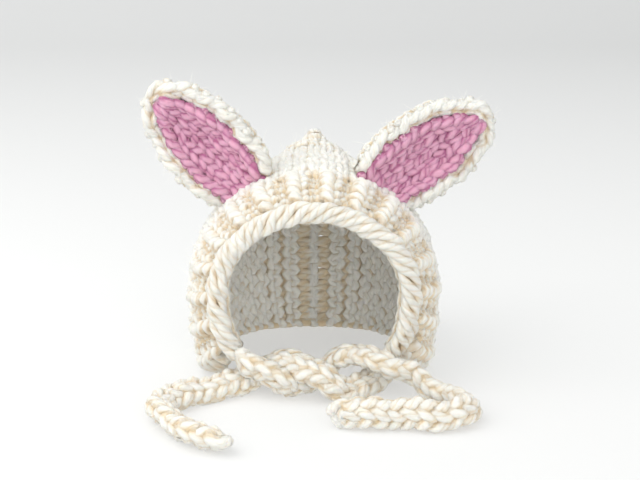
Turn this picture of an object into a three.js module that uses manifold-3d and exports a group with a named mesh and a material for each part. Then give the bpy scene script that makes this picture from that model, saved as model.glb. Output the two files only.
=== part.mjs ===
// Baby bonnet with ears, hand-knitted in one super bulky yarn. Millimetres, +Z up, the face opening looks
// along -Y.
//
// The bonnet is a flat knitted strip bent over into an arch: a ribbed brim at the front, a row of eyelets
// behind it, and a plain crown whose last row is folded in half and sewn up the middle of the back, which
// leaves a peak at the top of the seam. A knitted edging cord follows the face opening. Each of its ends runs
// on into a round knitted tie. Both ties are twisted once round each other under the chin and lie loose on
// the surface that the bonnet stands on. Each ear is a cream knitted leaf with a smaller pink leaf sewn into
// its hollow.
//
// Shapes are worked out in the bonnet's own frame: x = 0 is its plane of symmetry, y = 0 the middle of the
// edging cord, and z = 0 the surface it stands on. The whole group then moves so that the origin is the
// bottom centre of the box round everything but the ties.

import * as THREE from "three";
import { mergeVertices } from "three/addons/utils/BufferGeometryUtils.js";
import Module from "manifold-3d";

// ---- driving dimensions ----

const YARN = 4.2; // thickness of the yarn
const CROWN_WALL = 1.6 * YARN; // plain knitting, two yarns deep where stitches interlock
const BRIM_WALL = 1.7 * YARN; // ribbing is a little deeper than plain knitting
const GAP = 0.3; // between pieces that touch

const STITCHES = 32; // across the arch, alternately a knit and a purl column in the brim
const RIBS = STITCHES / 2;
const RIB_DEPTH = 1.1; // how far a rib stands out of the mean wall, and a furrow lies below it

const EDGING_RADIUS = 4.3;
const EYELET_SIZE = 3.4; // across the corners of an eyelet
const EYELET_ROW = 0.215; // where the eyelets lie, as a share of the way from face to seam
const BRIM_END = 0.2; // where the brim's ribbing ends, on the same scale
const BRIM_START = 0.04; // clear of the edging cord

const TIE_RADIUS = 5;
const TIE_SIDES = 8;
const TIE_STEPS = 40;

// The middle of the head: walls are thickened straight towards it, and towards the lines in front of and
// below it.
const HEAD_CENTRE = { y: 45, z: 48 };

// Rows of the arch from the face edge to the back seam. at is the share of the way back. The three y values
// are at the top, at the widest point and at the foot of the arch. wide is the height of the widest point.
const ARCHES = [
  { at: 0.0, yTop: 0, ySide: 0, yFoot: 0, top: 89.5, halfWide: 45.5, wide: 49, footHalf: 39, foot: 23 },
  { at: 0.1, yTop: 12, ySide: 12, yFoot: 13, top: 98.0, halfWide: 55, wide: 44, footHalf: 49, foot: 7 },
  { at: 0.2, yTop: 25, ySide: 25, yFoot: 26, top: 102.2, halfWide: 60.5, wide: 39, footHalf: 55, foot: 0 },
  { at: 0.38, yTop: 43, ySide: 45, yFoot: 46, top: 104, halfWide: 62.5, wide: 37, footHalf: 57, foot: 0 },
  { at: 0.57, yTop: 58, ySide: 68, yFoot: 66, top: 104, halfWide: 57.5, wide: 38, footHalf: 52, foot: 0 },
  { at: 0.76, yTop: 71, ySide: 87, yFoot: 82, top: 104.5, halfWide: 42, wide: 42, footHalf: 37, foot: 0 },
  { at: 0.9, yTop: 80, ySide: 97.5, yFoot: 90, top: 107.5, halfWide: 24, wide: 48, footHalf: 20, foot: 0 },
  { at: 1.0, yTop: 86, ySide: 102, yFoot: 93, top: 111, halfWide: 0, wide: 52, footHalf: 0, foot: 0 },
];
const FOOT_TURN = Math.PI / 3; // the arch's lower part is this much of an ellipse's quarter

// The outline of an ear's leaf. The shares are of its greatest half width, and the place is a share of its
// length.
const LEAF_FOOT_SHARE = 0.7;
const LEAF_TIP_SHARE = 0.2; // the tip is blunt
const LEAF_WIDEST = 0.45;
const LEAF_FULLNESS = 2.2; // 2 narrows to the tip along a parabola, and more keeps the leaf wide for longer
// Both ears. base is the middle of the leaf's foot, just inside the crown's wall, and tip its point. turn is
// how far the hollow side looks away from straight ahead, about the ear's own length.
const EARS = [
  { name: "left", base: [-30, 38, 90], tip: [-80, 41, 139], turn: -6, halfWide: 22.5 },
  { name: "right", base: [27, 38, 91], tip: [87, 41, 129], turn: 6, halfWide: 22.5 },
];
const EAR_OUTER_WALL = 5.2; // cream leaf
const EAR_INNER_WALL = 4.4; // pink leaf
const EAR_INNER_SHARE = 0.72; // width of the pink leaf as a share of the cream one
const EAR_INNER_START = 0.04; // its two ends along the cream leaf
const EAR_INNER_END = 0.9;
const EAR_CUP = 13; // how far the edges of the leaf curl forwards at its base
const EAR_CUP_TIP = 6; // and towards its tip
const EAR_LEAN = 6; // how far the leaf's middle bows back between base and tip

// The routes of the ties from the edging's ends, as points down their middles.
const TIE_FROM_LEFT = [
  [-37.4, -1.0, 19.4], [-34.2, -3.2, 17.6], [-29.4, -6.8, 16.8], [-23.8, -9.6, 14.8],
  [-17.6, -9.6, 9.8], [-11.3, -6.4, 6.2], [-5.2, -3.0, 5.6], [0.6, -0.6, 7.8],
  [6.0, 1.6, 12.0], [12.0, 1.8, 16.0], [19.6, -1.2, 19.0], [27.0, -6.4, 20.4],
  [34.0, -10.6, 19.4], [40.5, -11.8, 16.6], [48.0, -11.4, 12.2], [56.0, -14.4, 8.0],
  [64.0, -19.6, 5.6], [70.2, -26.8, 5.2], [71.0, -35.0, 5.2], [65.6, -41.2, 5.2],
  [57.0, -43.2, 5.2], [46.0, -42.8, 5.5], [33.0, -41.8, 5.6], [20.0, -41.4, 5.2],
  [7.0, -42.0, 5.2],
];
const TIE_FROM_RIGHT = [
  [37.2, -0.4, 19.8], [35.4, -0.4, 15.6], [32.8, 0.0, 11.2], [29.4, -1.2, 7.8],
  [24.8, -5.0, 5.6], [19.0, -10.4, 5.2], [12.6, -13.0, 6.6], [6.4, -12.4, 10.0],
  [0.4, -10.8, 13.2], [-6.0, -7.6, 16.0], [-12.4, -3.6, 17.0], [-18.6, -0.2, 14.8],
  [-24.4, 1.4, 10.0], [-30.0, 1.4, 6.6], [-37.0, -2.0, 5.2], [-47.0, -8.4, 5.2],
  [-57.4, -13.6, 5.2], [-65.6, -20.6, 5.2], [-69.4, -30.0, 5.2], [-67.0, -41.0, 5.2],
  [-60.8, -51.4, 5.2], [-52.4, -60.0, 5.2], [-43.4, -65.2, 5.2], [-36.0, -67.6, 5.2],
];

const CREAM = { color: 0xf3eadb, roughness: 0.95, metalness: 0 };
const PINK = { color: 0xdd9cc4, roughness: 0.95, metalness: 0 };

// ---- the bonnet's surface ----

const degrees = (d) => (d * Math.PI) / 180;

// One column of ARCHES at a share of the way back, on a smooth curve through its rows.
function archSize(key, at) {
  let i = ARCHES.findIndex((row) => row.at > at) - 1;
  if (i < 0) i = ARCHES.length - 2;
  const slope = (k) => {
    const a = ARCHES[Math.max(k - 1, 0)];
    const b = ARCHES[Math.min(k + 1, ARCHES.length - 1)];
    return (b[key] - a[key]) / (b.at - a.at);
  };
  const [row, next] = [ARCHES[i], ARCHES[i + 1]];
  const span = next.at - row.at;
  const s = (at - row.at) / span;
  return (
    row[key] * (1 + 2 * s) * (1 - s) ** 2 +
    next[key] * (3 - 2 * s) * s ** 2 +
    slope(i) * span * s * (1 - s) ** 2 -
    slope(i + 1) * span * (1 - s) * s ** 2
  );
}

// Half an arch, from its top to its foot, as points with their distance along it.
const archCache = new Map();
function halfArch(at) {
  if (archCache.has(at)) return archCache.get(at);
  const row = Object.fromEntries(Object.keys(ARCHES[0]).map((key) => [key, archSize(key, at)]));
  row.foot = Math.max(0, row.foot);
  const halfWide = at === 1 ? 0 : row.halfWide;
  const footHalf = at === 1 ? 0 : row.footHalf;
  const points = [];
  const upperSteps = 48;
  for (let i = 0; i <= upperSteps; i++) {
    const angle = (i / upperSteps) * (Math.PI / 2);
    points.push(
      new THREE.Vector3(
        halfWide * Math.sin(angle),
        row.ySide + (row.yTop - row.ySide) * Math.cos(angle) ** 2,
        row.wide + (row.top - row.wide) * Math.cos(angle),
      ),
    );
  }
  const lowerSteps = 24;
  for (let i = 1; i <= lowerSteps; i++) {
    const angle = (i / lowerSteps) * FOOT_TURN;
    const inwards = (1 - Math.cos(angle)) / (1 - Math.cos(FOOT_TURN));
    points.push(
      new THREE.Vector3(
        halfWide + (footHalf - halfWide) * inwards,
        row.ySide + (row.yFoot - row.ySide) * inwards,
        row.wide + (row.foot - row.wide) * (Math.sin(angle) / Math.sin(FOOT_TURN)),
      ),
    );
  }
  const along = [0];
  for (let i = 1; i < points.length; i++) along.push(along[i - 1] + points[i].distanceTo(points[i - 1]));
  archCache.set(at, { points, along });
  return archCache.get(at);
}

// The point on the wall's outside at share across of half the arch (-1 left foot, 0 top, 1 right foot).
function surfacePoint(across, at) {
  const { points, along } = halfArch(at);
  const reach = Math.abs(across) * along[along.length - 1];
  let i = 1;
  while (i < along.length - 1 && along[i] < reach) i++;
  const share = (reach - along[i - 1]) / Math.max(along[i] - along[i - 1], 1e-9);
  const p = points[i - 1].clone().lerp(points[i], share);
  if (across < 0) p.x = -p.x;
  return p;
}

// The same point moved by distance straight away from the middle of the head.
function movedOut(p, distance) {
  const centre = new THREE.Vector3(0, Math.min(p.y, HEAD_CENTRE.y), Math.min(p.z, HEAD_CENTRE.z));
  const away = p.clone().sub(centre);
  return p.clone().addScaledVector(away.normalize(), distance);
}

// ---- closed meshes from grids of points ----

const wasm = await Module();
wasm.setup();

function meshOf(points, index) {
  const geometry = new THREE.BufferGeometry();
  geometry.setAttribute(
    "position",
    new THREE.Float32BufferAttribute(
      points.flatMap((p) => [p.x, p.y, p.z]),
      3,
    ),
  );
  geometry.setIndex(index);
  return geometry;
}

// A closed body between two grids, each rows of equally many points: the outer one seen from outside, the
// inner one behind. A last row that is folded in half and sewn has no edge of its own.
function wallBetween(outer, inner, folded = false) {
  const rows = outer.length;
  const columns = outer[0].length;
  const at = (side, i, j) => side * rows * columns + i * columns + j;
  const index = [];
  const quad = (a, b, c, d) => index.push(a, b, c, a, c, d);
  for (let i = 0; i < rows - 1; i++)
    for (let j = 0; j < columns - 1; j++) {
      quad(at(0, i, j), at(0, i, j + 1), at(0, i + 1, j + 1), at(0, i + 1, j));
      quad(at(1, i, j), at(1, i + 1, j), at(1, i + 1, j + 1), at(1, i, j + 1));
    }
  for (let j = 0; j < columns - 1; j++) {
    quad(at(0, 0, j), at(1, 0, j), at(1, 0, j + 1), at(0, 0, j + 1));
    if (!folded) quad(at(0, rows - 1, j + 1), at(1, rows - 1, j + 1), at(1, rows - 1, j), at(0, rows - 1, j));
  }
  for (let i = 0; i < rows - 1; i++) {
    quad(at(0, i + 1, 0), at(1, i + 1, 0), at(1, i, 0), at(0, i, 0));
    quad(at(0, i, columns - 1), at(1, i, columns - 1), at(1, i + 1, columns - 1), at(0, i + 1, columns - 1));
  }
  return meshOf([...outer.flat(), ...inner.flat()], index);
}

// A closed body whose rows run round it, with a fan at its first row and, unless its last row is folded, one
// there too.
function filled(grid, folded) {
  const rows = grid.length;
  const columns = grid[0].length;
  const at = (i, j) => i * columns + (j % columns);
  const middle = (row) => row.reduce((sum, p) => sum.addScaledVector(p, 1 / columns), new THREE.Vector3());
  const points = [...grid.flat(), middle(grid[0]), middle(grid[rows - 1])];
  const index = [];
  for (let j = 0; j < columns; j++) {
    for (let i = 0; i < rows - 1; i++)
      index.push(at(i, j), at(i, j + 1), at(i + 1, j + 1), at(i, j), at(i + 1, j + 1), at(i + 1, j));
    index.push(at(0, j + 1), at(0, j), points.length - 2);
    if (!folded) index.push(at(rows - 1, j), at(rows - 1, j + 1), points.length - 1);
  }
  return meshOf(points, index);
}

function solidFrom(geometry) {
  const bare = geometry.clone();
  for (const name of ["normal", "uv"]) bare.deleteAttribute(name);
  const merged = mergeVertices(bare, 1e-3);
  const corners = [];
  for (let i = 0; i < merged.index.count; i += 3) {
    const [a, b, c] = [0, 1, 2].map((k) => merged.index.getX(i + k));
    if (a !== b && b !== c && a !== c) corners.push(a, b, c);
  }
  return new wasm.Manifold(
    new wasm.Mesh({
      numProp: 3,
      vertProperties: new Float32Array(merged.attributes.position.array),
      triVerts: new Uint32Array(corners),
    }),
  );
}

function geometryFrom(solid) {
  const mesh = solid.getMesh();
  const geometry = new THREE.BufferGeometry();
  geometry.setAttribute("position", new THREE.BufferAttribute(new Float32Array(mesh.vertProperties), 3));
  geometry.setIndex(new THREE.BufferAttribute(new Uint32Array(mesh.triVerts), 1));
  geometry.computeVertexNormals();
  return geometry;
}

// A grid of wall points from one share of the way back to another. raised gives how far each point stands
// out.
function wallGrid(from, to, rows, columns, raised) {
  return Array.from({ length: rows + 1 }, (_, i) => {
    const at = from + ((to - from) * i) / rows;
    return Array.from({ length: columns + 1 }, (_, j) => {
      const across = (2 * j) / columns - 1;
      return movedOut(surfacePoint(across, at), raised(across, at));
    });
  });
}

// ---- crown, brim and edging ----

function crown() {
  const from = BRIM_END + 0.003;
  const rows = 17;
  const columns = 48;
  const wall = wallBetween(
    wallGrid(from, 1, rows, columns, () => 0),
    wallGrid(from, 1, rows, columns, () => -CROWN_WALL),
    true,
  );
  // One eyelet behind each furrow of the brim, a six-sided hole straight through the wall.
  const eyelets = Array.from({ length: RIBS - 1 }, (_, i) => {
    const across = (2 * (i + 1)) / RIBS - 1;
    const point = surfacePoint(across, EYELET_ROW);
    const ahead = surfacePoint(across, EYELET_ROW + 0.01).sub(point).normalize();
    const outwards = movedOut(point, 1).sub(point);
    const sideways = new THREE.Vector3().crossVectors(outwards, ahead).normalize();
    const ring = (distance) =>
      Array.from({ length: 6 }, (_, k) =>
        movedOut(point, distance)
          .addScaledVector(ahead, (EYELET_SIZE / 2) * Math.cos(degrees(60 * k)))
          .addScaledVector(sideways, (EYELET_SIZE / 2) * Math.sin(degrees(60 * k))),
      );
    return solidFrom(filled([ring(-CROWN_WALL - 3), ring(3)], false));
  });
  return geometryFrom(solidFrom(wall).subtract(wasm.Manifold.union(eyelets)));
}

function brim() {
  const rows = 5;
  const columns = RIBS * 6;
  const ribs = (across, at) => {
    const fade = Math.min(1, (at - BRIM_START) / 0.04);
    return -RIB_DEPTH * fade * Math.cos(Math.PI * RIBS * (across + 1));
  };
  const wall = wallBetween(
    wallGrid(BRIM_START, BRIM_END, rows, columns, ribs),
    wallGrid(BRIM_START, BRIM_END, rows, columns, () => -BRIM_WALL),
  );
  return geometryFrom(solidFrom(wall));
}

// A round bar along a curve, with flat ends.
function tube(points, radius, sides, steps) {
  const section = new THREE.Shape();
  for (let i = 0; i <= sides; i++) {
    const angle = ((i + 0.5) * 2 * Math.PI) / sides;
    const [x, y] = [radius * Math.cos(angle), radius * Math.sin(angle)];
    if (i === 0) section.moveTo(x, y);
    else if (i < sides) section.lineTo(x, y);
  }
  section.closePath();
  const extrudePath = new THREE.CatmullRomCurve3(points, false, "centripetal");
  return new THREE.ExtrudeGeometry(section, { steps, extrudePath, bevelEnabled: false });
}

function edging() {
  const steps = 56;
  const points = Array.from({ length: steps + 1 }, (_, i) => surfacePoint((2 * i) / steps - 1, 0));
  return tube(points, EDGING_RADIUS, 10, steps);
}

const tie = (route) =>
  tube(
    route.map((p) => new THREE.Vector3(...p)),
    TIE_RADIUS,
    TIE_SIDES,
    TIE_STEPS,
  );

// ---- ears ----

// Half the width of a leaf along its length, both as shares.
function leafShare(along) {
  if (along < LEAF_WIDEST) return 1 - (1 - LEAF_FOOT_SHARE) * (1 - along / LEAF_WIDEST) ** 2;
  return 1 - (1 - LEAF_TIP_SHARE) * ((along - LEAF_WIDEST) / (1 - LEAF_WIDEST)) ** LEAF_FULLNESS;
}

// A curved leaf between two shares of the ear's length. front is how far its hollow side stands forward of
// the middle of the cream leaf's, and width its size as a share of the cream leaf's.
function leaf(ear, front, wall, width, start, end) {
  const base = new THREE.Vector3(...ear.base);
  const length = new THREE.Vector3(...ear.tip).sub(base);
  const up = length.clone().normalize();
  const forwards = new THREE.Vector3(0, -1, 0).applyAxisAngle(up, degrees(ear.turn));
  const facing = forwards.addScaledVector(up, -forwards.dot(up)).normalize();
  const sideways = new THREE.Vector3().crossVectors(up, facing).normalize();
  const [rows, columns] = [12, 10];
  const grid = (depth) =>
    Array.from({ length: rows + 1 }, (_, i) => {
      const along = start + ((end - start) * i) / rows;
      const share = leafShare(along / end) * width;
      const cup = EAR_CUP + (EAR_CUP_TIP - EAR_CUP) * along;
      return Array.from({ length: columns + 1 }, (_, j) => {
        const across = (2 * j) / columns - 1;
        const curl = cup * (across * share) ** 2 - EAR_LEAN * Math.sin(Math.PI * along);
        return base
          .clone()
          .addScaledVector(length, along)
          .addScaledVector(sideways, ear.halfWide * share * across)
          .addScaledVector(facing, curl + depth);
      });
    });
  return wallBetween(grid(front), grid(front - wall));
}

// ---- assembly ----

const group = new THREE.Group();
const materials = {
  cream: new THREE.MeshStandardMaterial(CREAM),
  pink: new THREE.MeshStandardMaterial(PINK),
};

function add(name, geometry, material) {
  const mesh = new THREE.Mesh(geometry, materials[material]);
  mesh.name = name;
  group.add(mesh);
  return mesh;
}

const hat = [
  add("crown", crown(), "cream"),
  add("brim", brim(), "cream"),
  add("face_edging", edging(), "cream"),
];

// Everything inside the bonnet's outside, with a gap round it: what an ear's foot is cut away by.
const inside = solidFrom(
  filled(
    wallGrid(BRIM_START, 1, 17, 48, () => GAP),
    true,
  ),
);
for (const ear of EARS) {
  const outer = solidFrom(leaf(ear, 0, EAR_OUTER_WALL, 1, 0, 1));
  const front = EAR_INNER_WALL + GAP;
  const inner = solidFrom(
    leaf(ear, front, EAR_INNER_WALL, EAR_INNER_SHARE, EAR_INNER_START, EAR_INNER_END),
  );
  hat.push(add(`ear_outer_${ear.name}`, geometryFrom(outer.subtract(inside)), "cream"));
  hat.push(add(`ear_inner_${ear.name}`, geometryFrom(inner.subtract(inside)), "pink"));
}

add("tie_from_left", tie(TIE_FROM_LEFT), "cream");
add("tie_from_right", tie(TIE_FROM_RIGHT), "cream");

const box = new THREE.Box3();
hat.forEach((mesh) => box.expandByObject(mesh, true));
const centre = box.getCenter(new THREE.Vector3());
group.position.set(-centre.x, -centre.y, -box.min.z);

export default group;
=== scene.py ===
"""Looks of the knitted baby bonnet. Every piece is modelled as the yarn that it is knitted from: tubes that
follow the loops of the stitches over the same surfaces as the CAD part. Lengths are in millimetres in the
bonnet's own frame: x = 0 is its plane of symmetry, y = 0 the edging cord and z = 0 the surface it stands on.
to_row() takes them to the row frame in metres."""

import math

import bpy
import numpy as np
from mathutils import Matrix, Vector


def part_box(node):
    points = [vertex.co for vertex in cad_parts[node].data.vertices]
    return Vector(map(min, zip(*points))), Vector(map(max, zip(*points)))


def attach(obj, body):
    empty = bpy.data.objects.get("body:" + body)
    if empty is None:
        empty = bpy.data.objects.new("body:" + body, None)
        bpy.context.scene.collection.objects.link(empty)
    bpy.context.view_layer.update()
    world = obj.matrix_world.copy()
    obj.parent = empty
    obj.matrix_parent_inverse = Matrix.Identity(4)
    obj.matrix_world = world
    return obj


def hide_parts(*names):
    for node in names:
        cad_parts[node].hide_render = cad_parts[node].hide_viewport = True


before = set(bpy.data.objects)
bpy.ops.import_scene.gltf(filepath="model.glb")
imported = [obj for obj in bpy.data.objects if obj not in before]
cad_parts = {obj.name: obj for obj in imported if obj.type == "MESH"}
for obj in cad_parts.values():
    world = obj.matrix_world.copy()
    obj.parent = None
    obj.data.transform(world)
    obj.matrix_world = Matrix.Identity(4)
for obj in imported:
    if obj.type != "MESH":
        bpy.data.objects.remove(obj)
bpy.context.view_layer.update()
rng = np.random.default_rng(7)

# ---- the bonnet's own frame ----

MM = 0.001
edging_box, crown_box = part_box("face_edging"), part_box("crown")
ORIGIN = np.array(
    [(crown_box[0].x + crown_box[1].x) / 2, (edging_box[0].y + edging_box[1].y) / 2, 0.0],
)


def to_row(points):
    return np.asarray(points, float) * MM + ORIGIN


# ---- sizes, as in the part ----

YARN = 2.1  # radius of the yarn
HEAD_CENTRE = (45.0, 48.0)  # y and z of the middle of the head
WALL_MIDDLE = 3.3  # depth of the fabric's middle below its outside
FOOT_TURN = math.pi / 3  # the arch's lower part is this much of an ellipse's quarter
RIBS = 16
EYELET_ROW = 0.215  # share of the way from the face edge to the back seam
ARCH_COLUMNS = ("at", "y_top", "y_side", "y_foot", "top", "half_wide", "wide", "foot_half", "foot")
ARCHES = [
    (0.0, 0, 0, 0, 89.5, 45.5, 49, 39, 23),
    (0.1, 12, 12, 13, 98.0, 55, 44, 49, 7),
    (0.2, 25, 25, 26, 102.2, 60.5, 39, 55, 0),
    (0.38, 43, 45, 46, 104, 62.5, 37, 57, 0),
    (0.57, 58, 68, 66, 104, 57.5, 38, 52, 0),
    (0.76, 71, 87, 82, 104.5, 42, 42, 37, 0),
    (0.9, 80, 97.5, 90, 107.5, 24, 48, 20, 0),
    (1.0, 86, 102, 93, 111, 0, 52, 0, 0),
]
LEAF_FOOT_SHARE, LEAF_TIP_SHARE, LEAF_WIDEST, LEAF_FULLNESS = 0.7, 0.2, 0.45, 2.2
EARS = {
    "left": dict(base=(-30, 38, 90), tip=(-80, 41, 139), turn=-6, half_wide=22.5),
    "right": dict(base=(27, 38, 91), tip=(87, 41, 129), turn=6, half_wide=22.5),
}
EAR_CUP, EAR_CUP_TIP, EAR_LEAN = 13.0, 6.0, 6.0
TIE_FROM_LEFT = [
    (-37.4, -1.0, 19.4), (-34.2, -3.2, 17.6), (-29.4, -6.8, 16.8), (-23.8, -9.6, 14.8),
    (-17.6, -9.6, 9.8), (-11.3, -6.4, 6.2), (-5.2, -3.0, 5.6), (0.6, -0.6, 7.8),
    (6.0, 1.6, 12.0), (12.0, 1.8, 16.0), (19.6, -1.2, 19.0), (27.0, -6.4, 20.4),
    (34.0, -10.6, 19.4), (40.5, -11.8, 16.6), (48.0, -11.4, 12.2), (56.0, -14.4, 8.0),
    (64.0, -19.6, 5.6), (70.2, -26.8, 5.2), (71.0, -35.0, 5.2), (65.6, -41.2, 5.2),
    (57.0, -43.2, 5.2), (46.0, -42.8, 5.5), (33.0, -41.8, 5.6), (20.0, -41.4, 5.2),
    (7.0, -42.0, 5.2),
]
TIE_FROM_RIGHT = [
    (37.2, -0.4, 19.8), (35.4, -0.4, 15.6), (32.8, 0.0, 11.2), (29.4, -1.2, 7.8),
    (24.8, -5.0, 5.6), (19.0, -10.4, 5.2), (12.6, -13.0, 6.6), (6.4, -12.4, 10.0),
    (0.4, -10.8, 13.2), (-6.0, -7.6, 16.0), (-12.4, -3.6, 17.0), (-18.6, -0.2, 14.8),
    (-24.4, 1.4, 10.0), (-30.0, 1.4, 6.6), (-37.0, -2.0, 5.2), (-47.0, -8.4, 5.2),
    (-57.4, -13.6, 5.2), (-65.6, -20.6, 5.2), (-69.4, -30.0, 5.2), (-67.0, -41.0, 5.2),
    (-60.8, -51.4, 5.2), (-52.4, -60.0, 5.2), (-43.4, -65.2, 5.2), (-36.0, -67.6, 5.2),
]


# ---- small tools ----


def unit(vectors):
    """The vectors scaled to a length of 1."""
    return vectors / np.maximum(np.linalg.norm(vectors, axis=-1, keepdims=True), 1e-9)


def xyz(x, y, z):
    return np.stack([x, y, z], -1)


def lengths_along(line):
    """The distance from the first point of line to each of its points, along it."""
    return np.concatenate([[0], np.cumsum(np.linalg.norm(np.diff(line, axis=0), axis=1))])


def follow(places, along, array):
    """Rows of array, which are known at the places along, at other places."""
    return np.stack([np.interp(places, along, array[:, k]) for k in range(array.shape[1])], -1)


def smooth_step(x):
    x = np.clip(x, 0, 1)
    return x * x * (3 - 2 * x)


def uneven(points, amount=0.45, size=16.0):
    """Hand-made unevenness: a smooth drift of points in space, in mm."""
    p = points / size * 2 * math.pi

    def swell(a, b, c, rates, phases):
        broad = np.sin(p[:, a] * rates[0] + phases[0]) * np.cos(p[:, b] * rates[1] + phases[1])
        return broad + 0.6 * np.sin(p[:, c] * rates[2] + p[:, b] * rates[3])

    x = swell(1, 2, 0, (0.9, 1.1, 1.7, 1.3), (1.3, 0.4))
    y = swell(2, 0, 1, (1.0, 0.8, 1.6, 1.2), (2.1, 1.9))
    z = swell(0, 1, 2, (1.2, 0.9, 1.8, 1.4), (0.7, 2.6))
    return xyz(x, y, z) * amount


def wander(n, step, amount):
    """A slow random drift for n points, so that no two stitches are quite alike."""
    knots = rng.normal(0, amount, max(4, int(n / step) + 3))
    return np.interp(np.linspace(0, len(knots) - 1, n), np.arange(len(knots)), knots)


# ---- the bonnet's surface ----


def arch_sizes(at):
    """The sizes of the arch at a share of the way back, on smooth curves through the rows of ARCHES."""
    rows = np.array(ARCHES, float)
    i = max(0, min(len(rows) - 2, int((rows[:, 0] <= at).sum()) - 1))

    def slope(k):
        a, b = rows[max(k - 1, 0)], rows[min(k + 1, len(rows) - 1)]
        return (b - a) / (b[0] - a[0])

    span = rows[i + 1, 0] - rows[i, 0]
    s = (at - rows[i, 0]) / span
    values = rows[i] * (1 + 2 * s) * (1 - s) ** 2 + rows[i + 1] * (3 - 2 * s) * s**2
    values = values + slope(i) * span * s * (1 - s) ** 2
    values = values - slope(i + 1) * span * (1 - s) * s**2
    return dict(zip(ARCH_COLUMNS, values))


def arch(at, across):
    """Points of one arch of the bonnet's outside. across is -1 at the left foot, 0 at the top and 1 at the
    right foot."""
    row = arch_sizes(at)
    if at >= 1:
        row["half_wide"] = row["foot_half"] = 0.0
    row["foot"] = max(0.0, row["foot"])

    a = np.linspace(0, math.pi / 2, 97)
    upper = xyz(
        row["half_wide"] * np.sin(a),
        row["y_side"] + (row["y_top"] - row["y_side"]) * np.cos(a) ** 2,
        row["wide"] + (row["top"] - row["wide"]) * np.cos(a),
    )
    a = np.linspace(0, FOOT_TURN, 49)[1:]
    inwards = (1 - np.cos(a)) / (1 - math.cos(FOOT_TURN))
    lower = xyz(
        row["half_wide"] + (row["foot_half"] - row["half_wide"]) * inwards,
        row["y_side"] + (row["y_foot"] - row["y_side"]) * inwards,
        row["wide"] + (row["foot"] - row["wide"]) * np.sin(a) / math.sin(FOOT_TURN),
    )
    half = np.concatenate([upper, lower])
    along = lengths_along(half)
    points = follow(np.abs(across) * along[-1], along, half)
    points[:, 0] *= np.where(across < 0, -1, 1)
    return points


class Surface:
    """The bonnet's outside, held as a fine grid of points over two shares, across and at, with its outward
    directions."""

    def __init__(self):
        self.across, self.ats = np.linspace(-1, 1, 801), np.linspace(0, 1, 161)
        self.points = np.stack([arch(at, self.across) for at in self.ats])
        y, z = self.points[..., 1], self.points[..., 2]
        centre = xyz(np.zeros_like(y), np.minimum(y, HEAD_CENTRE[0]), np.minimum(z, HEAD_CENTRE[1]))
        self.out = unit(self.points - centre)

    def sample(self, array, across, at):
        x = np.clip((across + 1) / 2, 0, 1) * (len(self.across) - 1)
        y = np.clip(at, 0, 1) * (len(self.ats) - 1)
        i = np.minimum(y.astype(int), len(self.ats) - 2)
        j = np.minimum(x.astype(int), len(self.across) - 2)
        fx, fy = (x - j)[:, None], (y - i)[:, None]
        near = array[i, j] * (1 - fx) + array[i, j + 1] * fx
        far = array[i + 1, j] * (1 - fx) + array[i + 1, j + 1] * fx
        return near * (1 - fy) + far * fy

    def at(self, across, at, out):
        """Points out millimetres above the surface, and the outward directions there."""
        direction = unit(self.sample(self.out, across, at))
        return self.sample(self.points, across, at) + direction * np.asarray(out)[:, None], direction


BONNET = Surface()


# ---- yarn ----

TUBE_SIDES = 8
END_REACH = (0.7, 0.35)  # how far a yarn's rounded end reaches, in radii, at its two extra rings
END_SIZE = (0.2, 0.8)  # and how wide it is there
FIBRE_RADII = np.array([0.075, 0.06])  # at its root and its middle; a fibre ends in a point
FIBRE_LONGEST = 1.6  # times the usual length
FIBRE_SHAFT = [[0, 1, 4], [0, 4, 3], [1, 2, 5], [1, 5, 4], [2, 0, 3], [2, 3, 5]]
FIBRE_POINT = [[3, 4, 6], [4, 5, 6], [5, 3, 6]]
FIBRE_ROOT = [[2, 1, 0]]
FIBRE_FACES = np.array(FIBRE_SHAFT + FIBRE_POINT + FIBRE_ROOT)
LOWEST = 0.02  # nothing dips below the surface that the bonnet stands on


def ring_about(first, second, count):
    """count directions round each of a row of axes, from one of their two cross directions to the other."""
    angle = np.arange(count) * 2 * math.pi / count
    cos, sin = np.cos(angle)[None, :, None], np.sin(angle)[None, :, None]
    return first[:, None] * cos + second[:, None] * sin


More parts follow.
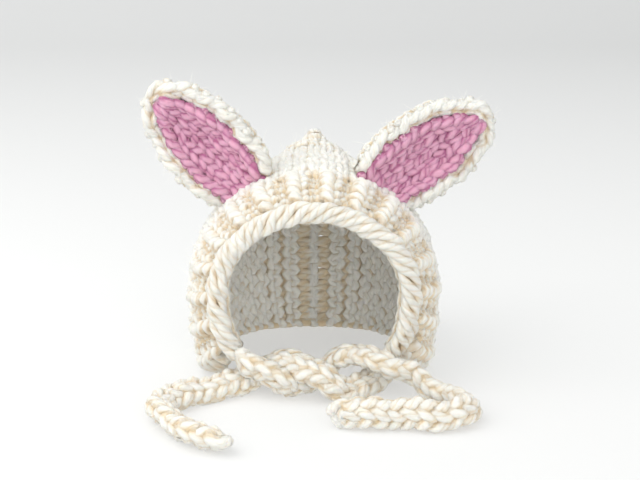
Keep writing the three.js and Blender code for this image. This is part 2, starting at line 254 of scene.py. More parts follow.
class Yarns:
    """Collects yarns as tubes and makes one mesh of them."""

    def __init__(self):
        self.verts, self.faces, self.caps, self.uvs, self.depth, self.count = [], [], [], [], [], 0

    def add(self, line, normal, radius, height, half_thick, shade=0.0):
        """line and normal are (n, 3). radius, height over the fabric's middle and shade, which adds painted
        shade to the colour, are numbers or n of them. half_thick is half the fabric's thickness."""
        n = len(line)
        radius, height, shade = [np.broadcast_to(np.asarray(a, float), (n,)) for a in (radius, height, shade)]
        tangent = unit(np.gradient(line, axis=0))
        first = unit(normal - tangent * (normal * tangent).sum(1, keepdims=True))
        second = np.cross(tangent, first)

        # Two more rings at either end round it off.
        before = [line[:1] - tangent[:1] * radius[0] * reach for reach in END_REACH]
        after = [line[-1:] + tangent[-1:] * radius[-1] * reach for reach in END_REACH[::-1]]
        line = np.concatenate(before + [line] + after)
        ends = [np.array(END_SIZE) * radius[0], np.array(END_SIZE[::-1]) * radius[-1]]
        radius = np.concatenate([ends[0], radius, ends[1]])
        own = np.concatenate([first, second, normal, np.stack([height, shade], -1)], 1)
        own = np.concatenate([own[:1], own[:1], own, own[-1:], own[-1:]])
        first, second, normal, height, shade = own[:, :3], own[:, 3:6], own[:, 6:9], own[:, 9], own[:, 10]
        n = len(line)

        along = lengths_along(line)
        ring = ring_about(first, second, TUBE_SIDES)
        verts = line[:, None] + ring * radius[:, None, None]
        i, j = [a.ravel() for a in np.meshgrid(np.arange(n - 1), np.arange(TUBE_SIDES), indexing="ij")]
        k = (j + 1) % TUBE_SIDES
        corners = [i * TUBE_SIDES + j, i * TUBE_SIDES + k, (i + 1) * TUBE_SIDES + k, (i + 1) * TUBE_SIDES + j]
        last = (n - 1) * TUBE_SIDES
        # A yarn's uv runs from 0 to 1 round it, and by 1 for each centimetre along it.
        u, v = (j / TUBE_SIDES, (j + 1) / TUBE_SIDES), (along[i] / 10, along[i + 1] / 10)
        places = [(u[0], v[0]), (u[1], v[0]), (u[1], v[1]), (u[0], v[1])]
        self.verts.append(verts.reshape(-1, 3))
        self.faces.append(np.stack(corners, -1) + self.count)
        self.caps.append(self.count + np.arange(TUBE_SIDES)[::-1])
        self.caps.append(self.count + last + np.arange(TUBE_SIDES))
        self.uvs.append(np.stack([np.stack(place, -1) for place in places], 1))
        # Painted shade from how far inside the fabric each point lies: 0 on either face and 1 near its
        # middle.
        over = height[:, None] + radius[:, None] * (ring * normal[:, None]).sum(2)
        painted_shade = 1 - np.clip((np.abs(over) / half_thick - 0.3) / 0.62, 0, 1) + shade[:, None]
        self.depth.append(painted_shade.reshape(-1))
        self.count += n * TUBE_SIDES

    def fuzz(self, count, length, keep=None):
        """Loose fibres: thin closed spikes of three sides that stand off the yarns and bend over. keep
        chooses them by the places of their tips."""
        size = np.array([len(v) for v in self.verts])
        owner = rng.choice(len(size), count, p=size / size.sum())
        root, away, run = np.empty((count, 3)), np.empty((count, 3)), np.empty((count, 3))
        for k in np.unique(owner):
            mine = np.flatnonzero(owner == k)
            tube = self.verts[k].reshape(-1, TUBE_SIDES, 3)
            i = rng.integers(2, len(tube) - 3, len(mine))
            j = rng.integers(0, TUBE_SIDES, len(mine))
            middle = tube.mean(1)
            root[mine] = tube[i, j]
            away[mine] = tube[i, j] - middle[i]
            run[mine] = middle[i + 1] - middle[i]
        away = unit(away)
        run = unit(run) * rng.choice([-1.0, 1.0], count)[:, None]
        reach = length * np.minimum(rng.gamma(3.0, 1 / 3, count), FIBRE_LONGEST)[:, None]
        lean = away * rng.uniform(0.3, 1.0, (count, 1)) + run * rng.uniform(0.2, 1.0, (count, 1))
        lean += rng.normal(0, 0.35, (count, 3))
        bend = rng.normal(0, 0.4, (count, 3)) + run * 0.4
        steps = np.array([0.0, 0.5, 1.0])[None, :, None]
        path = lean[:, None] * steps + bend[:, None] * steps**2
        line = root[:, None] - away[:, None] * 0.25 + reach[:, None] * path
        across = unit(np.cross(lean, away + 1e-3))
        other = np.cross(unit(lean), across)
        if keep is not None:
            chosen = keep(line[:, 2])
            line, across, other = line[chosen], across[chosen], other[chosen]
            count = len(line)
        ring = ring_about(across, other, 3)
        shaft = line[:, :2, None] + ring[:, None] * FIBRE_RADII[None, :, None, None]
        verts = np.concatenate([shaft.reshape(count, 6, 3), line[:, 2:]], 1)
        first = np.arange(count)[:, None, None] * verts.shape[1]
        return verts.reshape(-1, 3), (FIBRE_FACES[None] + first).reshape(-1, 3)

    def build(self, name, material, fibres, fibre_length, keep=None):
        fibre_verts, fibre_faces = self.fuzz(fibres, fibre_length, keep)
        verts = np.concatenate(self.verts + [fibre_verts])
        verts[:, 2] = np.maximum(verts[:, 2], LOWEST)
        groups = [np.concatenate(self.faces), np.array(self.caps), fibre_faces + self.count]
        corners = np.concatenate([g.ravel() for g in groups])
        sizes = np.concatenate([np.full(len(g), g.shape[1]) for g in groups])
        starts = np.concatenate([[0], np.cumsum(sizes)[:-1]])
        tube_uvs = np.concatenate(self.uvs).reshape(-1, 2)
        uvs = np.concatenate([tube_uvs, np.zeros((len(corners) - len(tube_uvs), 2))])
        # The painted shade of each point; the fibres get none.
        depth = np.concatenate(self.depth + [np.zeros(len(fibre_verts))])

        mesh = bpy.data.meshes.new(name)
        mesh.vertices.add(len(verts))
        mesh.vertices.foreach_set("co", to_row(verts).astype(np.float32).ravel())
        mesh.loops.add(len(corners))
        mesh.loops.foreach_set("vertex_index", corners.astype(np.int32))
        mesh.polygons.add(len(starts))
        mesh.polygons.foreach_set("loop_start", starts.astype(np.int32))
        mesh.update(calc_edges=True)
        mesh.polygons.foreach_set("use_smooth", sizes == 4)
        layer = mesh.uv_layers.new(name="Yarn")
        layer.data.foreach_set("uv", uvs.astype(np.float32).ravel())
        # The attribute depth carries the painted shade to the material.
        attribute = mesh.attributes.new("depth", "FLOAT", "POINT")
        attribute.data.foreach_set("value", depth.astype(np.float32))
        mesh.update()
        mesh.materials.append(material)
        obj = bpy.data.objects.new(name, mesh)
        bpy.context.scene.collection.objects.link(obj)
        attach(obj, "root")
        return obj


LOOP_LEAN = 0.24  # how far a plain loop's legs bulge sideways, in columns


def knit_row(columns, samples, signs, reach, lean, depth):
    """One row of loops. Returns the place across in columns, the place along in rows, heads at -reach, and
    the height in mm. signs is +1 for a stitch that is knitted and -1 for one that is purled."""
    signs = np.asarray(signs, float)
    t = np.linspace(0, 2 * math.pi * columns, columns * samples + 1)
    sign = signs[np.clip((t / (2 * math.pi)).astype(int), 0, columns - 1)]
    # Round the foot between two stitches the sign goes over from one to the other.
    foot = np.rint(t / (2 * math.pi)).astype(int)
    away = t - foot * 2 * math.pi
    before, after = signs[np.clip(foot - 1, 0, columns - 1)], signs[np.clip(foot, 0, columns - 1)]
    w = smooth_step((away + math.pi / 4) / (math.pi / 2))
    sign = np.where(np.abs(away) < math.pi / 4, before * (1 - w) + after * w, sign)
    across = t / (2 * math.pi) + lean * np.sin(2 * t)
    return across, reach * np.cos(t), -sign * depth * np.cos(2 * t)


# ---- crown and brim ----

RIB_PLACES = np.array([0, 0.36, 0.66, 1.0])  # a rib's repeat, from furrow to furrow
RIB_HEIGHTS = np.array([-1, 1, 0.6, -1.0])
BONNET_WIDE, BONNET_DEEP = 137.0, 100.0  # mm of surface for each share across and each share of the way back
# The last of these is how far the painted shade round an eyelet reaches.
EYELET_HOLE, EYELET_REACH, EYELET_SHADE_REACH = 0.9, 6.0, 3.2  # radii in mm
SEAM = 0.9985  # the last row's share of the way back


def rib_wave(across):
    """Height of the brim's fabric, -1 in the furrows, where the eyelets are, and up to 1 on the ribs."""
    place = ((across + 1) * RIBS / 2) % 1
    i = np.clip(np.searchsorted(RIB_PLACES, place, side="right") - 1, 0, len(RIB_PLACES) - 2)
    w = smooth_step((place - RIB_PLACES[i]) / (RIB_PLACES[i + 1] - RIB_PLACES[i]))
    return RIB_HEIGHTS[i] * (1 - w) + RIB_HEIGHTS[i + 1] * w


def open_eyelets(across, at):
    """Pushes yarns away from the eyelets. The third result, the painted shade round the eyelets, is 1 at an
    eyelet's edge and falls to 0 further off."""
    nearest = np.clip(np.rint((across + 1) * RIBS / 2), 1, RIBS - 1) * 2 / RIBS - 1
    du, dv = (across - nearest) * BONNET_WIDE, (at - EYELET_ROW) * BONNET_DEEP
    r = np.maximum(np.hypot(du, dv), 1e-3)
    pushed = EYELET_HOLE + r * (EYELET_REACH - EYELET_HOLE) / EYELET_REACH
    grown = np.where(r < EYELET_REACH, pushed / r, 1.0)
    across, at = nearest + du * grown / BONNET_WIDE, EYELET_ROW + dv * grown / BONNET_DEEP
    return across, at, smooth_step(1.5 - r * grown / EYELET_SHADE_REACH)


def crown_yarns():
    """Plain knitting whose columns run from the eyelets to the seam up the back."""
    yarns = Yarns()
    columns, rows, samples = 38, 17, 12
    start, end, side = 0.212, 0.992, 0.992
    thick, depth, rib_height = 2.35, 1.35, 0.9
    for i in range(rows):
        across, along, height = knit_row(columns, samples, np.ones(columns), 0.78, LOOP_LEAN, depth)
        n = len(across)
        across = (across * 2 / columns - 1) * side + wander(n, samples, 0.002)
        at = start + (end - start) * (i + 0.5 + along + wander(n, samples, 0.04)) / rows
        at = np.clip(at, start - 0.004, SEAM)
        across, at, painted_eyelet_shade = open_eyelets(across, at)
        out = -WALL_MIDDLE + height + wander(n, samples, 0.25)
        out += rib_height * rib_wave(across) * smooth_step((0.33 - at) / 0.12)
        line, normal = BONNET.at(across, at, out)
        line += uneven(line)
        radius = thick * (1 + wander(n, 7, 0.06))
        # Painted shade: more round the eyelets and a little less than the default elsewhere.
        yarns.add(line, normal, radius, height, depth + YARN, shade=0.6 * painted_eyelet_shade - 0.25)
    # The plain edge at the foot is one yarn along each side.
    steps = 260
    for sign in (-1, 1):
        at = np.linspace(start, SEAM, steps)
        ripple = np.cos(np.arange(steps) * 2 * math.pi * rows / steps)
        line, normal = BONNET.at(np.full(steps, sign * 0.985), at, -WALL_MIDDLE + 1.2 * ripple)
        yarns.add(line + uneven(line, 0.3), normal, YARN, YARN, depth + YARN)
    return yarns


def brim_columns():
    """The brim's stitches. Each repeat is a wide knitted column on the rib and a narrow purled one in the
    furrow. A knitted loop's left leg is the longer one. The first result has the places of the feet and
    heads, half a column apart and counted in repeats, and the second the stitches' signs."""
    bounds, signs = [0.06], []
    for k in range(RIBS):
        if k:
            bounds += [k, k + 0.17]
            signs.append(-1)
        bounds += [k + 0.58, k + 0.83 if k < RIBS - 1 else k + 0.94]
        signs.append(1)
    return bounds, signs


def brim_yarns():
    yarns = Yarns()
    rows, samples = 5, 18
    start, end = 0.045, 0.21
    thick, depth, rib_height, edge = 2.4, 1.5, 1.8, 0.93
    bounds, signs = brim_columns()
    columns = len(signs)
    for i in range(rows):
        across, along, height = knit_row(columns, samples, signs, 0.4, -0.03, depth)
        n = len(across)
        # The left leg of a knitted loop stands up and the right one lies lower and steeper.
        knitted = np.asarray(signs)[np.clip(across.astype(int), 0, columns - 1)] > 0
        first = np.sin(across * 2 * math.pi) * knitted
        repeat = np.interp(across * 2, np.arange(2 * columns + 1), bounds)
        across = repeat * 2 / RIBS - 1 + wander(n, samples, 0.002)
        at = start + (end - start) * (i + 0.5 + along + wander(n, samples, 0.06)) / rows
        wave = rib_wave(across)
        out = -WALL_MIDDLE + height + rib_height * wave * smooth_step((0.26 - at) / 0.1)
        out = out + 0.5 * first + wander(n, samples, 0.3)
        across, at, painted_eyelet_shade = open_eyelets(across, at)
        line, normal = BONNET.at(across, at, out)
        line += uneven(line)
        radius = thick + 0.2 * first + wander(n, 7, 0.12)
        # Painted shade: the colour is deeper in the furrows and round the eyelets, where shade falls, and the
        # painted shade is taken off at the two feet.
        feet = smooth_step((np.abs(across) - edge) / 0.04)
        shade = 0.15 * (1 - wave) - 0.31 - 0.5 * feet + 0.65 * painted_eyelet_shade
        yarns.add(line, normal, radius, height, depth + YARN, shade)
    return yarns


# ---- chains and ropes: the edging and the ears' rims ----


def frames_along(line, up, side, places):
    """Points of line at distances along it, and the two directions there, scaled to 1."""
    along = lengths_along(line)
    points, up, side = [follow(places, along, a) for a in (line, up, side)]
    return points, unit(up), unit(side)


def chain(yarns, line, up, side, pitch, wide, thick, reach, depth, shade=0.0, rough=1.0):
    """A chain of interlocking loops along line. up is the way the chain faces and side the way across it, at
    each point of line. rough is how uneven the loops are."""
    samples = 14
    long = lengths_along(line)[-1]
    count = int(round(long / pitch))
    t = np.linspace(0, 2 * math.pi, samples + 1)
    x = wide * ((t / (2 * math.pi) - 0.5) + 0.2 * np.sin(2 * t))
    y = -reach * np.cos(t)
    z = -depth * np.cos(2 * t)
    for k in range(count):
        core, u, v = frames_along(line, up, side, (k + 0.5 + y) * long / count)
        jitter = rng.normal(0, 0.2 * rough, 3)
        spoke = v * x[:, None] * (1 + rng.normal(0, 0.06 * rough))
        spoke = spoke + u * z[:, None] * (1 + rng.normal(0, 0.1 * rough))
        away = np.maximum(np.linalg.norm(spoke, axis=1), 0.2)
        radius = thick * (1 + rng.normal(0, 0.04 * rough))
        yarns.add(core + spoke + jitter, spoke / away[:, None], radius, away, depth + thick, shade)


def rope(yarns, line, up, side, strands, pitch, wide, thin, thick, slack, shade):
    """Strands that wind round line like a rope's, pitch apart along it. wide and thin are the two radii of
    the winding, and slack is how unevenly it runs, in radians."""
    long = lengths_along(line)[-1]
    turns = long / (pitch * strands)
    n = int(turns * 26)
    core, u, v = frames_along(line, up, side, np.linspace(0, long, n))
    drift = wander(n, 30, slack)
    for k in range(strands):
        angle = np.linspace(0, turns, n) * 2 * math.pi + drift + k * 2 * math.pi / strands
        fat = 1 + wander(n, 14, 0.11)
        spoke = u * (thin * np.cos(angle) * fat)[:, None] + v * (wide * np.sin(angle) * fat)[:, None]
        away = np.linalg.norm(spoke, axis=1)
        points = core + spoke + uneven(core + 7.0 * k, 0.45, 14.0)
        radius = thick * (1 + wander(n, 6, 0.1))
        yarns.add(points, spoke / away[:, None], radius, away, thin + thick, shade)


def edging_yarns():
    yarns = Yarns()
    n = 500
    edge, out = BONNET.at(np.linspace(-1, 1, n), np.zeros(n), np.zeros(n))
    forwards = np.tile([0.0, -1.0, 0.0], (n, 1))
    # Short zigzags of yarn behind the cast-off edge join it to the brim and show on its inner side.
    up = forwards * 0.55 - out * 0.83
    side = out * 0.55 + forwards * 0.83
    line = edge - out * 2.5 - forwards * 1.6
    chain(yarns, line, up, side, pitch=7.0, wide=5.6, thick=1.8, reach=0.9, depth=0.8)
    # The cast-off edge: long strands laid over each other aslant.
    up = forwards * 0.93 + out * 0.37
    side = out * 0.93 - forwards * 0.37
    line = edge + out * 0.3 + forwards * 0.4
    # Its ends run on into the ties.
    run_on = [line[:1] + (line[:1] - line[4:5]) * 4, line[-1:] + (line[-1:] - line[-5:-4]) * 4]
    line = np.concatenate([run_on[0], line, run_on[1]])
    up, side = [np.concatenate([a[:1], a, a[-1:]]) for a in (up, side)]
    # Its strands take a little more painted shade.
    rope(yarns, line, up, side, strands=4, pitch=6.9, wide=2.9, thin=2.0, thick=2.25, slack=0.6, shade=0.04)
    return yarns


# ---- ears ----

RIM_INSET = 4.6  # of the rim's middle from the leaf's edge
RIM_START, RIM_END = 0.03, 0.93  # along the leaf


def ear_frame(ear):
    """The leaf's foot, the vector to its tip, the way that its hollow faces and the way across it."""
    base = np.array(ear["base"], float)
    length = np.array(ear["tip"], float) - base
    up = unit(length)
    angle = math.radians(ear["turn"])
    f = np.array([0.0, -1.0, 0.0])
    f = f * math.cos(angle) + np.cross(up, f) * math.sin(angle) + up * (up @ f) * (1 - math.cos(angle))
    facing = unit(f - up * (f @ up))
    return base, length, facing, np.cross(up, facing)


def leaf_share(along):
    """Half the width of a leaf along its length, both as shares."""
    along = np.clip(along, 0, 1)
    below = np.maximum(LEAF_WIDEST - along, 0) / LEAF_WIDEST
    above = np.maximum(along - LEAF_WIDEST, 0) / (1 - LEAF_WIDEST)
    return 1 - (1 - LEAF_FOOT_SHARE) * below**2 - (1 - LEAF_TIP_SHARE) * above**LEAF_FULLNESS


def leaf_point(ear, across, along, front):
    """Points of the leaf: across is -1 to 1 of its width there, along 0 to 1 of its length, and front in mm
    towards its hollow side."""
    base, length, facing, sideways = ear_frame(ear)
    share = leaf_share(along)
    cup = EAR_CUP + (EAR_CUP_TIP - EAR_CUP) * along
    curl = cup * (across * share) ** 2 - EAR_LEAN * np.sin(math.pi * np.clip(along, 0, 1))
    aside = ear["half_wide"] * share * across
    points = base + length * along[:, None] + sideways * aside[:, None] + facing * curl[:, None]
    # The way that the leaf faces there, from the slope of its curl.
    slope = 2 * cup * across * share / ear["half_wide"]
    normal = unit(facing - sideways * slope[:, None])
    return points + normal * np.asarray(front)[:, None], normal


def leaf_knit(yarns, ear, width, start, end, front, facing, stitch, row, thick, shade=0.0):
    """Plain knitting over a leaf, its columns running towards the tip. facing is +1 when its knit side looks
    into the hollow. stitch is a column's width and row a row's height, in mm."""
    samples, depth = 14, 1.3
    length = np.linalg.norm(ear_frame(ear)[1])
    rows = int(round((end - start) * length / row))
    for i in range(rows):
        middle = start + (end - start) * (i + 0.5) / rows
        share = leaf_share(middle / end) * width
        columns = max(2, int(round(2 * ear["half_wide"] * share / stitch)))
        across, along, height = knit_row(columns, samples, np.ones(columns), 0.8, LOOP_LEAN, depth)
        n = len(across)
        a = middle - (end - start) * along / rows + wander(n, samples, 0.002)
        across = across * 2 / columns - 1
        # Widths are shares of the whole leaf's width at the same place.
        x = across * leaf_share(a / end) * width / leaf_share(a)
        line, normal = leaf_point(ear, x, a, front + facing * height + wander(n, samples, 0.35))
        line += uneven(line, 0.7, 19.0)
        # The loops at the sides stand up and curl over.
        curl = np.clip((np.abs(across) - 0.55) / 0.45, 0, 1) ** 2
        line += normal * (1.5 * facing * curl)[:, None]
        radius = thick * (1 + wander(n, 7, 0.07))
        yarns.add(line, normal * facing, radius, np.abs(height) + curl, depth + thick, shade)


def ear_outer_yarns(ear):
    yarns = Yarns()
    # The knit takes less painted shade than the default.
    leaf_knit(yarns, ear, 0.84, 0.03, 0.93, -2.6, -1, stitch=7.2, row=5.0, thick=2.2, shade=-0.25)
    # The rim: a thick, uneven chain all round the leaf's edge, laid a yarn's width inside it.
    steps, smoothed = 120, 20
    along = np.linspace(RIM_START, RIM_END, steps)
    along = np.concatenate([along, np.linspace(RIM_END, RIM_START, steps)])
    half = leaf_share(along) * ear["half_wide"]
    inset = np.clip((half - RIM_INSET) / half, 0.1, 1)
    across = np.concatenate([np.full(steps, -1.0), np.full(steps, 1.0)]) * inset
    line, up = leaf_point(ear, across, along, np.full(2 * steps, -0.6))
    # The two sides run together in a round tip.
    a, b = steps - smoothed, steps + smoothed
    for _ in range(6):
        line[a:b] = (line[a - 1 : b - 1] + line[a + 1 : b + 1] + line[a:b]) / 3
    line += uneven(line, 0.6, 15.0)
    side = np.cross(unit(np.gradient(line, axis=0)), up)
    # The rim takes a little less painted shade.
    chain(yarns, line, up, side, 6.3, 6.4, thick=2.4, reach=0.96, depth=1.4, shade=-0.12, rough=2.4)
    return yarns


def ear_inner_yarns(ear):
    yarns = Yarns()
    leaf_knit(yarns, ear, 0.72, 0.04, 0.86, 2.9, 1, stitch=8.0, row=5.4, thick=2.35)
    return yarns


# ---- ties ----

TIE_YARN = 2.7  # radius of its yarn
TIE_HALF_WIDE, TIE_HALF_THIN = 8.0, 5.7  # of the whole cord
TIE_BULGE = 1.0  # how far its loops stand in and out
TIE_COLUMNS, TIE_PITCH = 3, 6.9
TIE_REACH = 0.66  # of a loop up and down, in rows
TIE_START = 0.74  # from the cord's end to the middle of its first loop, in rows
TIE_POINTS = 600


def catmull(points, n):
    """A smooth curve through the points, with n points at equal distances, and its length."""
    p = [np.array(q, float) for q in points]
    p = [2 * p[0] - p[1]] + p + [2 * p[-1] - p[-2]]
    w = np.linspace(0, 1, 40, endpoint=False)[:, None]
    out = []
    for a, b, c, d in zip(p, p[1:], p[2:], p[3:]):
        ab, bc, cd = [max(np.linalg.norm(r - q) ** 0.5, 1e-4) for q, r in ((a, b), (b, c), (c, d))]
        t1 = ((b - a) / ab - (c - a) / (ab + bc) + (c - b) / bc) * bc
        t2 = ((c - b) / bc - (d - b) / (bc + cd) + (d - c) / cd) * bc
        square, cube = -3 * b + 3 * c - 2 * t1 - t2, 2 * b - 2 * c + t1 + t2
        out.append(b + t1 * w + square * w**2 + cube * w**3)
    out = np.concatenate(out + [p[-2][None]])
    along = lengths_along(out)
    return follow(np.linspace(0, along[-1], n), along, out), along[-1]


def tie_yarns(route, flat_turns):
    """A knitted cord: one yarn that spirals round an oval core. flat_turns gives the turn of the oval's width
    out of the level, in degrees, at shares of the length. Also returns the cord's line and its length."""
    yarns = Yarns()
    line, length = catmull(route, TIE_POINTS)
    place = np.linspace(0, 1, TIE_POINTS)
    tangent = unit(np.gradient(line, axis=0))
    level = unit(np.cross(tangent, [0.0, 0.0, 1.0]))
    rise = np.cross(level, tangent)
    turn = np.radians(np.interp(place, *zip(*flat_turns)))
    wide = level * np.cos(turn)[:, None] + rise * np.sin(turn)[:, None]
    thin = np.cross(wide, tangent)
    # The oval down the middle of the yarn.
    half_wide, half_thin = TIE_HALF_WIDE - TIE_BULGE - TIE_YARN, TIE_HALF_THIN - TIE_BULGE - TIE_YARN
    # The cord's underside touches the floor where it lies on it.
    skin = 3.4  # from the oval down the middle of the yarn to the cord's outside, nearly
    lift = np.sqrt((half_wide + skin) ** 2 * wide[:, 2] ** 2 + (half_thin + skin) ** 2 * thin[:, 2] ** 2)
    line[:, 2] = np.maximum(line[:, 2], lift - 0.3)

    samples = 18
    rows = int(length / TIE_PITCH)
    t = np.linspace(0, 2 * math.pi * TIE_COLUMNS * rows, TIE_COLUMNS * rows * samples + 1)
    n = len(t)
    angle = (t / (2 * math.pi) + LOOP_LEAN * np.sin(2 * t)) * 2 * math.pi / TIE_COLUMNS
    # The loops start and end a little inside the cord's ends.
    along = (t / (2 * math.pi * TIE_COLUMNS) + TIE_START + TIE_REACH * np.cos(t)) / (rows + 2 * TIE_START)
    height = -TIE_BULGE * np.cos(2 * t)
    c, w, h = [follow(along, place, a) for a in (line, wide, thin)]
    spoke = w * (np.cos(angle) * half_wide)[:, None] + h * (np.sin(angle) * half_thin)[:, None]
    normal = unit(w * (np.cos(angle) / half_wide)[:, None] + h * (np.sin(angle) / half_thin)[:, None])
    # The two ends are drawn together.
    to_end = np.minimum(along, 1 - along) * length
    closed = np.sqrt(np.clip(to_end / 4.5, 0.12, 1))
    c = c + uneven(c, 0.7, 26.0) * smooth_step(to_end / 20)[:, None]
    out = height + wander(n, samples, 0.3)
    points = c + (spoke + normal * out[:, None]) * closed[:, None]
    points += uneven(points, 0.35, 11.0)
    radius = TIE_YARN * (1 + wander(n, 7, 0.06))
    # Painted shade, taken off near the cord's two ends.
    shade = -0.06 - smooth_step(1.6 - to_end / 5.5)
    yarns.add(points, normal, radius, height, TIE_BULGE + TIE_YARN, shade)
    return yarns, line, length


# ---- materials ----


def yarn_material(name, lit, painted_shade, sheen, groove_shade, bump_size=0.0012):
    """Matte wool with painted shade. lit is its colour on the fabric's face and the next colour the painted
    shade colour far inside, in the crevices. The number after sheen is how much painted shade the furrows
    between the plies take."""
    material = bpy.data.materials.new(name)
    material.use_nodes = True
    nodes, links = material.node_tree.nodes, material.node_tree.links
    nodes.clear()
    out = nodes.new("ShaderNodeOutputMaterial")
    bsdf = nodes.new("ShaderNodeBsdfPrincipled")
    links.new(bsdf.outputs[0], out.inputs[0])
    bsdf.inputs["Roughness"].default_value = 0.9
    bsdf.inputs["Specular IOR Level"].default_value = 0.15
    bsdf.inputs["Sheen Weight"].default_value = sheen
    bsdf.inputs["Sheen Roughness"].default_value = 0.55
    bsdf.inputs["Subsurface Weight"].default_value = 0.2
    bsdf.inputs["Subsurface Radius"].default_value = (1.0, 0.75, 0.55)
    bsdf.inputs["Subsurface Scale"].default_value = 0.002

    def calc(kind, *values):
        node = nodes.new("ShaderNodeMath")
        node.operation = kind
        for k, value in enumerate(values):
            if isinstance(value, (int, float)):
                node.inputs[k].default_value = value
            else:
                links.new(value, node.inputs[k])
        return node.outputs[0]

    uv = nodes.new("ShaderNodeUVMap")
    uv.uv_map = "Yarn"
    split = nodes.new("ShaderNodeSeparateXYZ")
    links.new(uv.outputs[0], split.inputs[0])
    round_yarn, centimetres = split.outputs[0], split.outputs[1]
    # Three plies twist round each other, one turn in 22 mm.
    twist = calc("MULTIPLY", centimetres, 2 * math.pi / 2.2)
    turned = calc("ADD", calc("MULTIPLY", round_yarn, 2 * math.pi), twist)
    plies = calc("COSINE", calc("MULTIPLY", calc("MULTIPLY", turned, 3.0), 0.5))
    ply = calc("POWER", calc("ABSOLUTE", plies), 0.6)
    # Fibres: fine noise drawn out along the plies.
    combine = nodes.new("ShaderNodeCombineXYZ")
    links.new(calc("MULTIPLY", calc("COSINE", turned), 1.6), combine.inputs[0])
    links.new(calc("MULTIPLY", calc("SINE", turned), 1.6), combine.inputs[1])
    links.new(calc("MULTIPLY", centimetres, 1.5), combine.inputs[2])
    fibre = nodes.new("ShaderNodeTexNoise")
    fibre.inputs["Scale"].default_value = 5.0
    fibre.inputs["Detail"].default_value = 3.0
    links.new(combine.outputs[0], fibre.inputs["Vector"])
    noise = fibre.outputs[0]
    bump = nodes.new("ShaderNodeBump")
    bump.inputs["Strength"].default_value = 1.0
    bump.inputs["Distance"].default_value = bump_size
    links.new(calc("ADD", calc("MULTIPLY", ply, 0.6), calc("MULTIPLY", noise, 0.7)), bump.inputs["Height"])
    links.new(bump.outputs[0], bsdf.inputs["Normal"])
    # Colour with painted shade: deeper in the fabric and in the furrows between the plies, where shade falls,
    # it is painted warmer and darker; a little noise makes the tone differ at random.
    depth = nodes.new("ShaderNodeAttribute")
    depth.attribute_name = "depth"
    painted_groove_shade = calc("MULTIPLY", calc("SUBTRACT", 1.0, ply), groove_shade)
    mottle = calc("MULTIPLY", calc("SUBTRACT", noise, 0.5), 0.3)
    ramp = nodes.new("ShaderNodeValToRGB")
    ramp.color_ramp.elements[0].position = 0.15
    ramp.color_ramp.elements[0].color = (*lit, 1)
    ramp.color_ramp.elements[1].position = 1.0
    ramp.color_ramp.elements[1].color = (*painted_shade, 1)
    links.new(calc("ADD", depth.outputs["Fac"], calc("ADD", painted_groove_shade, mottle)), ramp.inputs[0])
    links.new(ramp.outputs[0], bsdf.inputs["Base Color"])
    return material


# The second colour of each material is its painted shade colour, for the crevices and the furrows between the
# plies.
cream = yarn_material("cream_yarn", (0.95, 0.927, 0.853), (0.84, 0.66, 0.43), 0.3, 0.5)
# A copy of the cream for the crown, partly painted light: its colour and its painted shade are paler, as the
# light makes the top whiter; its bump is also softer and its sheen stronger.
cream_soft_paler_lit = yarn_material("cream_yarn_soft_paler_lit", (0.952, 0.932, 0.865), (0.86, 0.70, 0.48), 0.4, 0.45, 0.001)
pink = yarn_material("pink_yarn", (0.83, 0.44, 0.59), (0.50, 0.15, 0.30), 0.25, 0.95)


# ---- build the pieces ----

CORD_FUZZ_REACH = 10.0  # loose fibres stay this near to a cord's line


def show(yarns, piece, material, fibres, fibre_length, node, keep=None):
    obj = yarns.build(piece, material, fibres, fibre_length, keep)
    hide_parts(node)
    return obj


def show_tie(node, route, flat_turns):
    yarns, line, length = tie_yarns(route, flat_turns)

    def near(tips):
        return np.linalg.norm(tips[:, None] - line[None, ::4], axis=2).min(1) < CORD_FUZZ_REACH

    piece = show(yarns, node + "_knit", cream, 3000, 2.2, node, keep=near)


show(crown_yarns(), "crown_knit", cream_soft_paler_lit, 6000, 3.0, "crown")
show(brim_yarns(), "brim_knit", cream, 8000, 2.2, "brim")
show(edging_yarns(), "edging_knit", cream, 1500, 2.0, "face_edging")
for side, ear in EARS.items():
    outer, inner = f"ear_outer_{side}", f"ear_inner_{side}"
    show(ear_outer_yarns(ear), outer + "_knit", cream, 3000, 2.4, outer)
    show(ear_inner_yarns(ear), inner + "_knit", pink, 1500, 2.0, inner)
LEFT_TURNS = [(0, 60), (0.2, 30), (0.3, 0), (0.45, 30), (0.6, 40), (0.75, 70), (0.85, 80), (1, 80)]
RIGHT_TURNS = [(0, 60), (0.2, 20), (0.35, 20), (0.5, 20), (0.7, 30), (0.8, 40), (1, 30)]
show_tie("tie_from_left", TIE_FROM_LEFT, LEFT_TURNS)
show_tie("tie_from_right", TIE_FROM_RIGHT, RIGHT_TURNS)


# ---- floor, light and camera, in metres ----


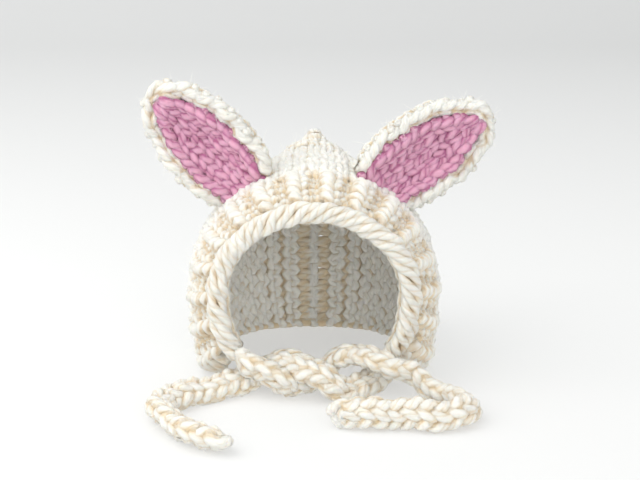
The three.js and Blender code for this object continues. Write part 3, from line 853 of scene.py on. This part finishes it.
def paper_material():
    """Pale paper with painted light: it glows a little, though it is no lamp, which keeps the shadows pale.
    The painted glow is weaker far away and to the right."""
    material = bpy.data.materials.new("paper")
    material.use_nodes = True
    nodes, links = material.node_tree.nodes, material.node_tree.links
    bsdf = nodes["Principled BSDF"]
    bsdf.inputs["Base Color"].default_value = (0.42, 0.423, 0.42, 1)
    bsdf.inputs["Roughness"].default_value = 0.9
    place = nodes.new("ShaderNodeTexCoord")
    split = nodes.new("ShaderNodeSeparateXYZ")
    links.new(place.outputs["Object"], split.inputs[0])
    glow = split.outputs[1]
    for kind, values in (("MULTIPLY_ADD", (-0.17, 0.46)), ("MAXIMUM", (0.3,)), ("MINIMUM", (0.44,))):
        node = nodes.new("ShaderNodeMath")
        node.operation = kind
        links.new(glow, node.inputs[0])
        for k, value in enumerate(values):
            node.inputs[k + 1].default_value = value
        glow = node.outputs[0]
    across = nodes.new("ShaderNodeMath")
    across.operation = "MULTIPLY_ADD"
    across.inputs[1].default_value = -0.06
    links.new(split.outputs[0], across.inputs[0])
    links.new(glow, across.inputs[2])
    # Painted light: the glow of the paper, which is no lamp.
    bsdf.inputs["Emission Color"].default_value = (0.995, 1.0, 0.995, 1)
    links.new(across.outputs[0], bsdf.inputs["Emission Strength"])
    return material


def lay_paper():
    """A sheet of paper that lies flat and sweeps up behind the bonnet."""
    mesh = bpy.data.meshes.new("floor")
    front, back, bend, top, half_wide = -8.0, 0.9, 0.5, 2.6, 8.0
    sweep = np.linspace(0.1, math.pi / 2, 14)
    profile = [(front, 0.0), (back, 0.0)]
    profile += [(back + bend * math.sin(a), bend - bend * math.cos(a)) for a in sweep]
    profile += [(back + bend, top)]
    verts = [(x, y, z) for y, z in profile for x in (-half_wide, half_wide)]
    faces = [(2 * i, 2 * i + 1, 2 * i + 3, 2 * i + 2) for i in range(len(profile) - 1)]
    mesh.from_pydata(verts, [], faces)
    mesh.polygons.foreach_set("use_smooth", [True] * len(faces))
    mesh.materials.append(paper_material())
    floor = bpy.data.objects.new("floor", mesh)
    bpy.context.scene.collection.objects.link(floor)


def aim(obj, place, target):
    """Puts a lamp or a camera at place and turns it to target."""
    obj.location = place
    obj.rotation_euler = (Vector(target) - Vector(place)).to_track_quat("-Z", "Y").to_euler()
    bpy.context.scene.collection.objects.link(obj)


def lamp(name, place, target, size, power, colour):
    light = bpy.data.lights.new(name, "AREA")
    light.shape, light.size, light.energy, light.color = "SQUARE", size, power, colour
    aim(bpy.data.objects.new(name, light), place, target)


def light_sky():
    world = bpy.data.worlds.new("world")
    world.use_nodes = True
    background = world.node_tree.nodes["Background"]
    background.inputs[0].default_value = (0.985, 0.995, 1.0, 1)
    background.inputs[1].default_value = 0.96
    bpy.context.scene.world = world


def set_camera():
    camera = bpy.data.cameras.new("camera")
    camera.lens, camera.sensor_width, camera.clip_start = 78.75, 36.0, 0.01
    camera.shift_x, camera.shift_y = 0.0094, 0.0219
    elevation, distance = math.radians(18), 0.7
    target = Vector(to_row((0, 45, 55)))
    place = target + Vector((0, -math.cos(elevation), math.sin(elevation))) * distance
    view = bpy.data.objects.new("camera", camera)
    aim(view, place, target)
    bpy.context.scene.camera = view
    bpy.context.scene.view_settings.view_transform = "Standard"


lay_paper()
light_sky()
lamp("window", (-0.5, -0.2, 0.7), (-0.05, 0, 0.05), 0.8, 4.0, (1.0, 0.99, 0.97))
lamp("fill", (0.25, -1.0, 0.4), (0, 0, 0.05), 0.7, 2.6, (1.0, 0.99, 0.98))
set_camera()
